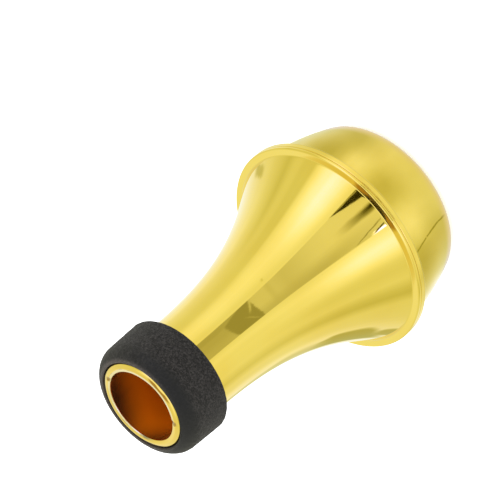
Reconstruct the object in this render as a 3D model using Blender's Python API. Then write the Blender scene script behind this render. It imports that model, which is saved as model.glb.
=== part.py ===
"""Trumpet straight mute: a flared body, a cup-shaped end cap, a foam ring and a bead of cement.

Metres, +Z up. The mute stands on its end cap with its mouth up. The origin is the middle of
the flat end, and Z is the axis that every piece is turned about. Each piece is a half section,
drawn as sharp corners with their fillets, and turned once round the axis.
"""

import math

import bmesh
import bpy

# Whole mute

TOTAL_HEIGHT = 0.1242  # flat end to mouth
FLANGE_RADIUS = 0.0390  # widest radius, of both flange and cap rim
JOINT_HEIGHT = 0.0296  # seam between body and cap, above the flat end
CLEARANCE = 0.0003  # gap between pieces that seat on each other
SEGMENTS = 60  # facets round every turned piece

# Body: mouth, neck and flare

MOUTH_RADIUS = 0.01615  # outer radius of the neck at the mouth
MOUTH_WALL = 0.00315  # wall at the mouth
LIP_CREST = 0.0008  # flat top of the lip, along the bore
LIP_FALL = 0.0010  # how far the lip slopes down from its crest to its outer edge
LIP_CREST_ROUND = 0.0010
MOUTH_OUTER_ROUND = 0.0010
MOUTH_INNER_ROUND = 0.0004
NECK_TAPER = 0.030  # radius gained per length of neck, the draft of the moulding
FLARE_START = 0.0263  # depth below the mouth where the neck begins to flare
FLARE_POWER = 2.42  # how late the flare opens: 1 is a cone
FLARE_STEPS = 12
BELL_WALL = 0.0020  # wall at the wide end

# Body: flange and spigot

FLANGE_FACE_WIDTH = 0.0027  # flat ring that faces the mouth, from flare to edge
FLANGE_THICKNESS = 0.0012
FLANGE_COVE = 0.0004  # fillet where the flare meets the flange
FLANGE_EDGE_ROUND = 0.0004
SPIGOT_LENGTH = 0.0038
SPIGOT_WALL = 0.0016
SPIGOT_LEAD_IN = 0.0005

# End cap

RIM_THICKNESS = 0.0024
RIM_UPPER_ROUND = 0.0003
RIM_LOWER_ROUND = 0.0007
RIM_OVERHANG = 0.00255  # rim beyond the wall under it
SHOULDER_FILLET = 0.0005  # between the rim's underside and the wall
CAP_WALL = 0.0020
CAP_WALL_CURVE = 0.112  # radius of the wall's gentle bulge
CAP_WALL_LEAN = math.radians(6.1)  # lean of the wall right under the rim
CAP_CORNER_ROUND = 0.0056  # between wall and flat end
CAP_WALL_STEPS = 4
CAP_CORNER_STEPS = 5
FOOT_WIDTH = 0.0050  # flat ring that the mute stands on
RECESS_DEPTH = 0.0006  # the middle of the flat end, clear of the table
RECESS_SLOPE = 0.0012  # width of the bevel between foot and recess
VENT_RADIUS = 0.0030
VENT_EDGE_ROUND = 0.0003
CEMENT_POCKET = 0.0018  # bevel at the socket's mouth, which the cement fills

# Foam ring

FOAM_SETBACK = 0.0002  # front edge behind the mouth
FOAM_LENGTH = 0.0177
FOAM_THICKNESS = 0.0039
FOAM_FRONT_ROUND = 0.0056  # the arc from the bore's front edge to the side
FOAM_FRONT_STEPS = 5
FOAM_REAR_ROUND = 0.0005
FOAM_INNER_ROUND = 0.0002
FOAM_BORE_STEPS = 4

# Sizes that follow from the values above

BELL_RADIUS = FLANGE_RADIUS - FLANGE_FACE_WIDTH
FLANGE_UNDERSIDE = JOINT_HEIGHT + CLEARANCE / 2
FLANGE_FACE = FLANGE_UNDERSIDE + FLANGE_THICKNESS
FLARE_END = TOTAL_HEIGHT - FLANGE_FACE  # depth below the mouth
RIM_TOP = JOINT_HEIGHT - CLEARANCE / 2
RIM_BOTTOM = RIM_TOP - RIM_THICKNESS
SHOULDER_RADIUS = FLANGE_RADIUS - RIM_OVERHANG
SPIGOT_END = FLANGE_UNDERSIDE - SPIGOT_LENGTH

# The cap's wall is an arc. Its centre lies beyond the axis and above the rim.
WALL_CENTRE_RADIUS = SHOULDER_RADIUS - CAP_WALL_CURVE * math.cos(CAP_WALL_LEAN)
WALL_CENTRE_HEIGHT = RIM_BOTTOM + CAP_WALL_CURVE * math.sin(CAP_WALL_LEAN)

# The rounded edge touches the wall's arc from inside, and the table.
CORNER_CENTRE_HEIGHT = CAP_CORNER_ROUND
CORNER_CENTRE_RADIUS = WALL_CENTRE_RADIUS + math.sqrt(
    (CAP_WALL_CURVE - CAP_CORNER_ROUND) ** 2 - (WALL_CENTRE_HEIGHT - CORNER_CENTRE_HEIGHT) ** 2
)
CORNER_START = math.atan2(
    CORNER_CENTRE_HEIGHT - WALL_CENTRE_HEIGHT,
    CORNER_CENTRE_RADIUS - WALL_CENTRE_RADIUS,
)
FOOT_INNER_RADIUS = CORNER_CENTRE_RADIUS - FOOT_WIDTH


def clear_scene():
    """Remove the objects that a new file starts with."""
    for item in list(bpy.data.objects):
        bpy.data.objects.remove(item, do_unlink=True)


def body_radius(depth):
    """Outer radius of the body at a depth below the mouth: a cone, then a power curve on top of it."""
    cone = MOUTH_RADIUS + NECK_TAPER * depth
    rise = BELL_RADIUS - MOUTH_RADIUS - NECK_TAPER * FLARE_END
    share = max(depth - FLARE_START, 0.0) / (FLARE_END - FLARE_START)
    return cone + rise * share**FLARE_POWER


def bore_radius(depth):
    """Inner radius of the body: the wall is measured square to the outer surface and thins evenly."""
    step = 0.0001
    slope = (body_radius(depth + step) - body_radius(depth - step)) / (2 * step)
    wall = MOUTH_WALL + (BELL_WALL - MOUTH_WALL) * depth / FLARE_END
    return body_radius(depth) - wall * math.hypot(1.0, slope)


def socket_radius(height):
    """Inner radius of the cap's wall at a height above the flat end."""
    reach = CAP_WALL_CURVE - CAP_WALL
    return WALL_CENTRE_RADIUS + math.sqrt(reach**2 - (WALL_CENTRE_HEIGHT - height) ** 2)


def spigot_radius():
    """Outer radius of the spigot, which clears the socket where it is narrowest."""
    return socket_radius(SPIGOT_END) - CLEARANCE


def arc(centre, radius, start, end, steps):
    """Points of an arc about a centre, with angles from the outward direction."""
    turn = [start + (end - start) * step / steps for step in range(steps + 1)]
    return [(centre[0] + radius * math.cos(a), centre[1] + radius * math.sin(a), 0.0) for a in turn]


def fillet(before, corner, after, radius):
    """Points that round one corner, on an arc tangent to both of its edges."""
    to_before = (before[0] - corner[0], before[1] - corner[1])
    to_after = (after[0] - corner[0], after[1] - corner[1])
    length_before = math.hypot(*to_before)
    length_after = math.hypot(*to_after)
    ux, uz = to_before[0] / length_before, to_before[1] / length_before
    vx, vz = to_after[0] / length_after, to_after[1] / length_after
    half = math.acos(max(-1.0, min(1.0, ux * vx + uz * vz))) / 2
    setback = radius / math.tan(half)
    reach = radius / math.sin(half)
    middle = math.hypot(ux + vx, uz + vz)
    centre = (corner[0] + (ux + vx) / middle * reach, corner[1] + (uz + vz) / middle * reach)
    first = (corner[0] + ux * setback, corner[1] + uz * setback)
    last = (corner[0] + vx * setback, corner[1] + vz * setback)
    start = math.atan2(first[1] - centre[1], first[0] - centre[0])
    end = math.atan2(last[1] - centre[1], last[0] - centre[0])
    sweep = (end - start + math.pi) % (2 * math.pi) - math.pi
    steps = max(2, round(abs(sweep) / math.radians(30)))
    return arc(centre, radius, start, start + sweep, steps)


def rounded(outline):
    """A closed outline of (radius, height, fillet) corners, with its fillets drawn."""
    points = []
    for index, corner in enumerate(outline):
        if corner[2] > 0:
            points += fillet(outline[index - 1], corner, outline[(index + 1) % len(outline)], corner[2])
        else:
            points.append(corner)
    return [(radius, height) for radius, height, _ in points]


def turned(name, outline, material, height=0.0):
    """Turn a closed half section once round the axis and stand it at a height."""
    shape = bmesh.new()
    corners = [shape.verts.new((radius, 0.0, level)) for radius, level in rounded(outline)]
    edges = [shape.edges.new((corners[i - 1], corners[i])) for i in range(len(corners))]
    bmesh.ops.spin(
        shape,
        geom=corners + edges,
        cent=(0.0, 0.0, 0.0),
        axis=(0.0, 0.0, 1.0),
        angle=2 * math.pi,
        steps=SEGMENTS,
        use_merge=True,
    )
    bmesh.ops.recalc_face_normals(shape, faces=shape.faces)
    mesh = bpy.data.meshes.new(name)
    shape.to_mesh(mesh)
    shape.free()
    mesh.shade_smooth()
    mesh.set_sharp_from_angle(angle=math.radians(35))
    mesh.materials.append(material)
    piece = bpy.data.objects.new(name, mesh)
    piece.location = (0.0, 0.0, height)
    bpy.context.scene.collection.objects.link(piece)
    return piece


def surface(name, colour, metallic, roughness):
    """A plain material with the piece's colour and shine."""
    material = bpy.data.materials.new(name)
    material.use_nodes = True
    shader = material.node_tree.nodes["Principled BSDF"]
    shader.inputs["Base Color"].default_value = (*colour, 1.0)
    shader.inputs["Metallic"].default_value = metallic
    shader.inputs["Roughness"].default_value = roughness
    material.diffuse_color = (*colour, 1.0)
    return material


def flare_depths():
    """Depths below the mouth along the flare, evenly spaced, its end left to the flange's corner."""
    run = FLARE_END - FLARE_START
    return [FLARE_START + run * step / FLARE_STEPS for step in range(FLARE_STEPS)]


def flared_body(material):
    """Mouth, neck, flare, flange and spigot. Heights are measured from the mouth, downwards negative."""
    face = FLANGE_FACE - TOTAL_HEIGHT
    underside = FLANGE_UNDERSIDE - TOTAL_HEIGHT
    spigot_end = SPIGOT_END - TOTAL_HEIGHT
    spigot_outer = spigot_radius()
    spigot_bore = spigot_outer - SPIGOT_WALL

    outside = [(body_radius(depth), -depth, 0.0) for depth in flare_depths()]
    inside = [(bore_radius(depth), -depth, 0.0) for depth in flare_depths()]
    inside = [point for point in inside if point[0] < spigot_bore]
    narrow, wide = -inside[-1][1], FLARE_END
    while wide - narrow > CLEARANCE / 100:
        middle = (narrow + wide) / 2
        if bore_radius(middle) < spigot_bore:
            narrow = middle
        else:
            wide = middle

    outline = [
        (bore_radius(0.0), 0.0, MOUTH_INNER_ROUND),
        (bore_radius(0.0) + LIP_CREST, 0.0, LIP_CREST_ROUND),
        (MOUTH_RADIUS, -LIP_FALL, MOUTH_OUTER_ROUND),
        *outside,
        (BELL_RADIUS, face, FLANGE_COVE),
        (FLANGE_RADIUS, face, FLANGE_EDGE_ROUND),
        (FLANGE_RADIUS, underside, FLANGE_EDGE_ROUND / 2),
        (spigot_outer, underside, 0.0),
        (spigot_outer, spigot_end, SPIGOT_LEAD_IN),
        (spigot_bore, spigot_end, 0.0),
        (spigot_bore, -narrow, 0.0),
        *reversed(inside),
    ]
    return turned("flared_body", outline, material, TOTAL_HEIGHT)


def end_cap(material):
    """Rim, curved wall, rounded edge, recessed flat end with its vent, and the bevelled socket."""
    wall_centre = (WALL_CENTRE_RADIUS, WALL_CENTRE_HEIGHT)
    corner_centre = (CORNER_CENTRE_RADIUS, CORNER_CENTRE_HEIGHT)
    bevel_foot = RIM_TOP - CEMENT_POCKET
    bevel_radius = socket_radius(bevel_foot)
    bevel_angle = math.atan2(bevel_foot - WALL_CENTRE_HEIGHT, bevel_radius - WALL_CENTRE_RADIUS)
    down = -math.pi / 2

    outer_wall = arc(wall_centre, CAP_WALL_CURVE, -CAP_WALL_LEAN, CORNER_START, CAP_WALL_STEPS)[1:]
    outer_edge = arc(corner_centre, CAP_CORNER_ROUND, CORNER_START, down, CAP_CORNER_STEPS)[1:]
    inner_edge = arc(corner_centre, CAP_CORNER_ROUND - CAP_WALL, down, CORNER_START, CAP_CORNER_STEPS)
    inner_wall = arc(wall_centre, CAP_WALL_CURVE - CAP_WALL, CORNER_START, bevel_angle, CAP_WALL_STEPS)[1:]
    recess_radius = FOOT_INNER_RADIUS - RECESS_SLOPE
    recess_floor = RECESS_DEPTH + CAP_WALL

    outline = [
        (FLANGE_RADIUS, RIM_TOP, RIM_UPPER_ROUND),
        (FLANGE_RADIUS, RIM_BOTTOM, RIM_LOWER_ROUND),
        (SHOULDER_RADIUS, RIM_BOTTOM, SHOULDER_FILLET),
        *outer_wall,
        *outer_edge,
        (FOOT_INNER_RADIUS, 0.0, 0.0),
        (recess_radius, RECESS_DEPTH, 0.0),
        (VENT_RADIUS, RECESS_DEPTH, VENT_EDGE_ROUND),
        (VENT_RADIUS, recess_floor, VENT_EDGE_ROUND),
        (recess_radius, recess_floor, 0.0),
        (FOOT_INNER_RADIUS, CAP_WALL, 0.0),
        *inner_edge,
        *inner_wall,
        (bevel_radius + CEMENT_POCKET, RIM_TOP, 0.0),
    ]
    return turned("end_cap", outline, material)


def foam_radius(depth):
    """Outer radius of the foam at a depth below the mouth: an even thickness over the neck."""
    return body_radius(depth) + CLEARANCE + FOAM_THICKNESS


def foam_ring(material):
    """A tube on the tapered neck, its front edge buffed to an arc. Heights are measured from the mouth."""
    run = FOAM_LENGTH / FOAM_BORE_STEPS
    depths = [FOAM_SETBACK + run * step for step in range(FOAM_BORE_STEPS + 1)]
    bore = [(body_radius(depth) + CLEARANCE, -depth, 0.0) for depth in depths]
    front = bore[0]
    centre_radius = foam_radius(FOAM_SETBACK + FOAM_FRONT_ROUND) - FOAM_FRONT_ROUND
    start = math.acos((front[0] - centre_radius) / FOAM_FRONT_ROUND)
    centre = (centre_radius, front[1] - FOAM_FRONT_ROUND * math.sin(start))
    outline = [
        (front[0], front[1], FOAM_INNER_ROUND),
        *arc(centre, FOAM_FRONT_ROUND, start, 0.0, FOAM_FRONT_STEPS)[1:],
        (foam_radius(depths[-1]), -depths[-1], FOAM_REAR_ROUND),
        *reversed(bore[1:]),
    ]
    return turned("foam_ring", outline, material, TOTAL_HEIGHT)


def cement_bead(material):
    """The cement in the pocket: a three-cornered ring between spigot, flange and the socket's bevel."""
    bevel_foot = RIM_TOP - CEMENT_POCKET
    bevel_radius = socket_radius(bevel_foot)
    inner = spigot_radius() + CLEARANCE
    top = FLANGE_UNDERSIDE - CLEARANCE
    lift = CLEARANCE * math.sqrt(2.0)  # clearance square to the 45 degree bevel, measured along Z
    outline = [
        (inner, top, 0.0),
        (bevel_radius + (top - bevel_foot) - lift, top, 0.0),
        (inner, bevel_foot + (inner - bevel_radius) + lift, 0.0),
    ]
    return turned("cement_bead", outline, material)


def main():
    """Build the four pieces and hang them on one empty at the middle of the flat end."""
    clear_scene()
    gold = surface("gold_coated_plastic", (0.80, 0.62, 0.12), metallic=1.0, roughness=0.08)
    foam = surface("black_foam", (0.045, 0.042, 0.040), metallic=0.0, roughness=0.95)
    cement = surface("amber_cement", (0.35, 0.14, 0.02), metallic=0.0, roughness=0.35)

    mute = bpy.data.objects.new("straight_mute", None)
    bpy.context.scene.collection.objects.link(mute)
    for piece in (flared_body(gold), end_cap(gold), foam_ring(foam), cement_bead(cement)):
        piece.parent = mute


if __name__ == "__main__":
    main()
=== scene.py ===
"""Trumpet straight mute: a flared body, an end cap, a foam ring and a cement bead, with their finishes.

Metres, +Z up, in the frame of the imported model. The mute stands on its end cap with its mouth up, and Z
is the axis that every piece is turned about. Depths are measured down from the mouth, heights up from
the flat end. Azimuths in the studio are in degrees from the camera's side, -Y, positive towards -X.
"""

import logging
import math
from collections.abc import Callable
from dataclasses import dataclass
from enum import Enum
from typing import ClassVar

import bpy
import numpy as np
from mathutils import Matrix, Vector


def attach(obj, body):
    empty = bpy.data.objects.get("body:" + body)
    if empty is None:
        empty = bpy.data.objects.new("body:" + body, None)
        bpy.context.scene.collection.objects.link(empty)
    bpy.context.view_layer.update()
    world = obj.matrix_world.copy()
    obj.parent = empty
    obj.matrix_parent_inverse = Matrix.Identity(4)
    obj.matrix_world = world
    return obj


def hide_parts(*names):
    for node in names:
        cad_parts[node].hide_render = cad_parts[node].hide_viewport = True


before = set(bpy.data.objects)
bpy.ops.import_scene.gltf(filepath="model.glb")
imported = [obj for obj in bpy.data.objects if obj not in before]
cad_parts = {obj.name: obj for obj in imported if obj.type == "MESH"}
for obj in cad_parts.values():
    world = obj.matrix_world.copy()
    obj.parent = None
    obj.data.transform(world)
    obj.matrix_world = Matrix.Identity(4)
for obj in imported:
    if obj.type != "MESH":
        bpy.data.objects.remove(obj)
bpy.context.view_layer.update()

LOG = logging.getLogger("straight_mute")
ROOT_BODY = "root"

TOTAL_HEIGHT = 0.1242
FLANGE_RADIUS = 0.0390
JOINT_HEIGHT = 0.0296
CLEARANCE = 0.0003
SEAM = 0.0001

Pair = tuple[float, float]
Triple = tuple[float, float, float]
Levels = tuple[Pair, ...]


class Side(Enum):
    """Which face of a wall a facet belongs to. The value is its material slot."""

    COATED = 0
    BARE = 1


Corner = tuple[float, float, float, Side]


# Node trees and finishes.


def math_operator(operation: str, swapped: bool = False) -> Callable[..., "Value"]:
    """Make one of Value's operators.

    Args:
        operation: the Math node's operation.
        swapped: whether the other number comes first.

    Returns:
        A method that adds the node and returns what it gives.
    """

    def work_out(own: "Value", *others: "Number") -> "Value":
        """Add the node."""
        return own.sketch.math(operation, *((*others, own) if swapped else (own, *others)))

    return work_out


@dataclass(frozen=True, eq=False)
class Value:
    """What a node gives: a number, a colour or a place. Arithmetic on a number adds Math nodes."""

    sketch: "NodeSketch"
    socket: bpy.types.NodeSocket

    __add__ = __radd__ = math_operator("ADD")
    __sub__ = math_operator("SUBTRACT")
    __rsub__ = math_operator("SUBTRACT", swapped=True)
    __mul__ = __rmul__ = math_operator("MULTIPLY")
    __truediv__ = math_operator("DIVIDE")
    __rtruediv__ = math_operator("DIVIDE", swapped=True)
    __pow__ = math_operator("POWER")
    __abs__ = math_operator("ABSOLUTE")


Number = float | Value


class NodeSketch:
    """Adds nodes to one tree, and sets or links their inputs as they are made."""

    def __init__(self, tree: bpy.types.NodeTree) -> None:
        """Keep the tree that the nodes go into."""
        self.tree = tree

    def feed(self, node: bpy.types.Node, inputs: dict) -> None:
        """Link or set some of a node's inputs.

        Args:
            node: the node.
            inputs: what each input gets, by its name or number.
        """
        for label, given in inputs.items():
            if isinstance(given, Value):
                self.tree.links.new(given.socket, node.inputs[label])
            else:
                node.inputs[label].default_value = given

    def add(self, kind: str, inputs: dict | None = None, **settings: object) -> bpy.types.Node:
        """Add one node.

        Args:
            kind: the node's type.
            inputs: what each input gets, by its name or number.
            settings: the node's own properties.

        Returns:
            The new node.
        """
        node = self.tree.nodes.new(kind)
        for name, setting in settings.items():
            setattr(node, name, setting)
        self.feed(node, inputs or {})
        return node

    def value(
        self, kind: str, inputs: dict | None = None, output: int | str = 0, **settings: object
    ) -> Value:
        """Add one node, as add does, and take one of its outputs."""
        return Value(self, self.add(kind, inputs, **settings).outputs[output])

    def math(self, operation: str, *numbers: Number) -> Value:
        """What a Math node makes of one or two numbers."""
        return self.value("ShaderNodeMath", dict(enumerate(numbers)), operation=operation)

    def measure(self, operation: str, *places: Value | Triple) -> Value:
        """The number that a Vector Math node makes of one or two places."""
        return self.value("ShaderNodeVectorMath", dict(enumerate(places)), "Value", operation=operation)

    def vector(self, operation: str, *places: Value | Triple) -> Value:
        """The place that a Vector Math node makes of two or three places."""
        return self.value("ShaderNodeVectorMath", dict(enumerate(places)), operation=operation)

    def axes(self, place: Value) -> list[Value]:
        """The three coordinates of a place."""
        return [Value(self, socket) for socket in self.add("ShaderNodeSeparateXYZ", {0: place}).outputs]

    def stretched(self, place: Value, scale: Triple) -> Value:
        """The same place, with its axes stretched."""
        return self.value("ShaderNodeMapping", {"Vector": place, "Scale": scale})

    def radius(self, place: Value) -> Value:
        """The distance of a place from the axis."""
        return self.measure("LENGTH", self.stretched(place, (1.0, 1.0, 0.0)))

    def ramp(self, number: Number, low: float, high: float) -> Value:
        """A smooth step: 0 below low, 1 above high, or the other way round where low is the larger."""
        ends = {"Value": number, "From Min": low, "From Max": high}
        return self.value("ShaderNodeMapRange", ends, interpolation_type="SMOOTHSTEP")

    def between(self, factor: Number, first: Number, second: Number) -> Value:
        """A number that goes from first to second as the factor goes from 0 to 1."""
        return self.value("ShaderNodeMix", {0: factor, 2: first, 3: second}, data_type="FLOAT")

    def tint(self, factor: Number, first: Triple | Value, second: Triple | Value) -> Value:
        """A colour that goes from first to second as the factor goes from 0 to 1."""
        first, second = ((*c, 1.0) if isinstance(c, tuple) else c for c in (first, second))
        return self.value("ShaderNodeMix", {0: factor, 6: first, 7: second}, 2, data_type="RGBA")

    def noise(self, place: Value, length: Number, detail: float = 2.0) -> Value:
        """Smooth noise about 0.5, whose features are about one length across."""
        inputs = {"Vector": place, "Scale": 1.0 / length, "Detail": detail, "Roughness": 0.55}
        return self.value("ShaderNodeTexNoise", inputs)

    def cells(self, place: Value, spacing: Number, **settings: object) -> tuple[Value, Value, Value]:
        """Cells of about one spacing.

        Args:
            place: where.
            spacing: the distance between cells.
            settings: the Voronoi node's own properties.

        Returns:
            The distance to the cell's middle, in spacings, and two numbers drawn for each cell.
        """
        inputs = {"Vector": place, "Scale": 1.0 / spacing}
        distance, colour = self.add("ShaderNodeTexVoronoi", inputs, **settings).outputs[:2]
        drawn = self.add("ShaderNodeSeparateColor", {0: Value(self, colour)}).outputs
        return Value(self, distance), Value(self, drawn[0]), Value(self, drawn[1])

    def levels(self, number: Value, span: float, table: Levels) -> Value:
        """A grey level that follows a table.

        Args:
            number: the place along the table, from minus half the span to half the span.
            span: the whole range.
            table: pairs of place and level, in order.

        Returns:
            The level.
        """
        node = self.add("ShaderNodeValToRGB", {0: number * (1 / span) + 0.5})
        elements = node.color_ramp.elements
        while len(elements) < len(table):
            elements.new(1.0)
        for element, (place, level) in zip(elements, table):
            element.position = place / span + 0.5
            element.color = (level, level, level, 1.0)
        return Value(self, node.outputs[0])

    def effect(self, group: bpy.types.NodeTree, place: Value, *numbers: float) -> Value:
        """Put in a shared group, with its numbers in the group's own order."""
        return self.value("ShaderNodeGroup", dict(enumerate((place, *numbers))), node_tree=group)

    def bump(self, height: Value) -> Value:
        """The normal of a surface that is raised by a height."""
        return self.value("ShaderNodeBump", {"Height": height, "Distance": 1.0, "Strength": 1.0})


def effect_group(
    name: str, output: str, usual: dict[str, float], recipe: Callable[..., Value]
) -> bpy.types.NodeTree:
    """Build a shader node group that makes one number from a place and some other numbers.

    Args:
        name: the group's name.
        output: the name of the number that it gives.
        usual: each other number's name and usual value.
        recipe: makes the result from a sketch of the group's tree, the place and the numbers.

    Returns:
        The group.
    """
    tree = bpy.data.node_groups.new(name, "ShaderNodeTree")
    tree.interface.new_socket("Place", in_out="INPUT", socket_type="NodeSocketVector")
    for label, number in usual.items():
        socket = tree.interface.new_socket(label, in_out="INPUT", socket_type="NodeSocketFloat")
        socket.default_value = number
    tree.interface.new_socket(output, in_out="OUTPUT", socket_type="NodeSocketFloat")
    sketch = NodeSketch(tree)
    given = sketch.add("NodeGroupInput").outputs[: len(usual) + 1]
    sketch.add("NodeGroupOutput", {0: recipe(sketch, *(Value(sketch, socket) for socket in given))})
    return tree


def moulded_ripple(sketch: NodeSketch, place: Value, length: Value, depth: Value) -> Value:
    """Waviness of moulded plastic: noise, plus 0.3 times noise a third as long, times the depth."""
    return (sketch.noise(place, length / 3.0) * 0.3 + sketch.noise(place, length)) * depth


def fine_specks(sketch: NodeSketch, place: Value, spacing: Value, size: Value, share: Value) -> Value:
    """Scattered round specks.

    Args:
        sketch: the group's tree.
        place: where.
        spacing: the distance between cells.
        size: the largest speck's radius. Each speck's own is drawn, down to 0.3 times this.
        share: the share of cells that hold a speck.

    Returns:
        A mask, 1 in a speck.
    """
    distance, drawn, drawn_size = sketch.cells(place, spacing)
    chosen = sketch.math("LESS_THAN", drawn, share)
    return chosen * sketch.math("LESS_THAN", distance * spacing, size * (drawn_size * 0.7 + 0.3))


def handling_film(sketch: NodeSketch, place: Value, length: Value) -> Value:
    """The faint film that fingers and cloths leave: patches of noise, broken up by finer noise."""
    patches = sketch.ramp(sketch.noise(place, length, 4.0), 0.50, 0.75)
    return patches * sketch.noise(place, length / 12.0, 3.0)


@dataclass(frozen=True)
class Effects:
    """The shared node groups."""

    ripple: bpy.types.NodeTree
    specks: bpy.types.NodeTree
    film: bpy.types.NodeTree

    @classmethod
    def built(cls) -> "Effects":
        """Build each group once.

        Returns:
            The groups.
        """
        speck_sizes = {"Spacing": 0.004, "Size": 0.0001, "Share": 0.2}
        return cls(
            effect_group("moulded_ripple", "Height", {"Length": 0.006, "Depth": 0.000002}, moulded_ripple),
            effect_group("fine_specks", "Mask", speck_sizes, fine_specks),
            effect_group("handling_film", "Mask", {"Length": 0.02}, handling_film),
        )


class Finish:
    """What every finish shares: a material that reads Object coordinates.

    Specks are given as spacing, size and share, and ripples as length and depth.
    """

    name = "finish"

    def start(self) -> tuple[bpy.types.Material, NodeSketch, Value]:
        """Make an empty material.

        Returns:
            The material, a sketch of its tree and the object's own coordinates.
        """
        material = bpy.data.materials.new(self.name)
        material.use_nodes = True
        sketch = NodeSketch(material.node_tree)
        return material, sketch, sketch.value("ShaderNodeTexCoord", output="Object")

    def sockets(self, sketch: NodeSketch, place: Value) -> dict[str, object]:
        """What each socket of the shader gets: a constant, or a value that varies."""
        raise NotImplementedError

    def material(self) -> bpy.types.Material:
        """Build the finish on one Principled shader.

        Returns:
            The material.
        """
        material, sketch, place = self.start()
        sketch.feed(material.node_tree.nodes["Principled BSDF"], self.sockets(sketch, place))
        return material


@dataclass(frozen=True)
class GoldCoating(Finish):
    """Mirror-bright metal coating under a clear gold lacquer, over moulded plastic."""

    effects: Effects
    gate_marks: tuple[Triple, ...]
    name: str = "gold_coating"
    lacquer: Triple = (0.98, 0.765, 0.150)
    thick_lacquer: Triple = (0.96, 0.715, 0.115)
    lacquer_patch: float = 0.030
    lacquer_patches: Pair = (0.35, 0.75)
    lip_lacquer: Triple = (0.98, 0.720, 0.145)
    lip_heights: Pair = (TOTAL_HEIGHT - 0.0009, TOTAL_HEIGHT - 0.0002)
    bare_metal: Triple = (0.97, 0.83, 0.54)
    bare_radii: Pair = (0.0147, 0.0144)
    bare_ragged: Pair = (0.006, 0.0011)
    bare_lean: float = 0.030
    bare_side: Pair = (-0.0115, -0.0050)
    bare_heights: Pair = (TOTAL_HEIGHT - 0.0016, TOTAL_HEIGHT - 0.0011)
    worn_edge: Triple = (0.40, 0.33, 0.22)
    worn_length: float = 0.004
    worn_broken: Pair = (0.48, 0.62)
    scar_colour: Triple = (0.42, 0.24, 0.04)
    scar_ragged: Pair = (0.0008, 0.0016)
    scar_radii: Pair = (0.0021, 0.0013)
    scar_roughness: float = 0.25
    nibs: Triple = (0.0055, 0.00011, 0.22)
    nib_colour: Triple = (0.42, 0.27, 0.05)
    nib_height: float = 0.00001
    nib_roughness: float = 0.3
    roughness: float = 0.035
    film_length: float = 0.022
    film_roughness: float = 0.07
    ripple: Pair = (0.009, 0.0000035)
    peel: Pair = (0.0011, 0.00000022)

    def sockets(self, sketch: NodeSketch, place: Value) -> dict[str, object]:
        """Work out the coating.

        Args:
            sketch: the material's tree.
            place: the object's own coordinates.

        Returns:
            A metal with a clear coat, uneven lacquer, a thin film, dust nibs, ripple and gate scars.
        """
        height = sketch.axes(place)[2]
        patches = sketch.ramp(sketch.noise(place, self.lacquer_patch, 3.0), *self.lacquer_patches)
        colour = sketch.tint(patches, self.lacquer, self.thick_lacquer)
        colour = sketch.tint(sketch.ramp(height, *self.lip_heights), colour, self.lip_lacquer)
        worn = self.worn(sketch, place, height)
        colour = sketch.tint(worn, colour, self.bare_metal)
        broken = sketch.ramp(sketch.noise(place, self.worn_length), *self.worn_broken)
        colour = sketch.tint(worn * (1.0 - worn) * broken * 4.0, colour, self.worn_edge)
        nibs = sketch.effect(self.effects.specks, place, *self.nibs)
        colour = sketch.tint(nibs, colour, self.nib_colour)
        film = sketch.effect(self.effects.film, place, self.film_length)
        roughness = film * self.film_roughness + self.roughness + nibs * self.nib_roughness
        for mark in self.gate_marks:
            scar = self.scar(sketch, place, mark)
            colour = sketch.tint(scar, colour, self.scar_colour)
            roughness = roughness + scar * self.scar_roughness
        relief = sketch.effect(self.effects.ripple, place, *self.ripple) + nibs * self.nib_height
        relief = relief + sketch.effect(self.effects.ripple, place, *self.peel)
        return {
            "Metallic": 1.0,
            "Coat Weight": 1.0,
            "Coat Roughness": 0.02,
            "Coat IOR": 1.5,
            "Base Color": colour,
            "Roughness": roughness,
            "Normal": sketch.bump(relief),
        }

    def worn(self, sketch: NodeSketch, place: Value, height: Value) -> Value:
        """Where the lacquer is rubbed off the lip's inner edge: a ring of uneven width, open on one side.

        Args:
            sketch: the material's tree.
            place: the object's own coordinates.
            height: their height.

        Returns:
            A mask, 1 where the metal is bare.
        """
        x, y, _ = sketch.axes(place)
        length, depth = self.bare_ragged
        radius = sketch.noise(place, length, 3.0) * depth + sketch.radius(place) + y * self.bare_lean
        ring = sketch.ramp(radius, *self.bare_radii) * sketch.ramp(height, *self.bare_heights)
        return ring * sketch.ramp(x, *self.bare_side)

    def scar(self, sketch: NodeSketch, place: Value, centre: Triple) -> Value:
        """The broken coating where a moulding gate was trimmed.

        Args:
            sketch: the material's tree.
            place: the object's own coordinates.
            centre: the middle of the scar.

        Returns:
            A ragged mask, 1 in the scar.
        """
        length, depth = self.scar_ragged
        ragged = sketch.noise(place, length, 4.0) * depth + sketch.measure("DISTANCE", place, centre)
        return sketch.ramp(ragged, *self.scar_radii)


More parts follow.
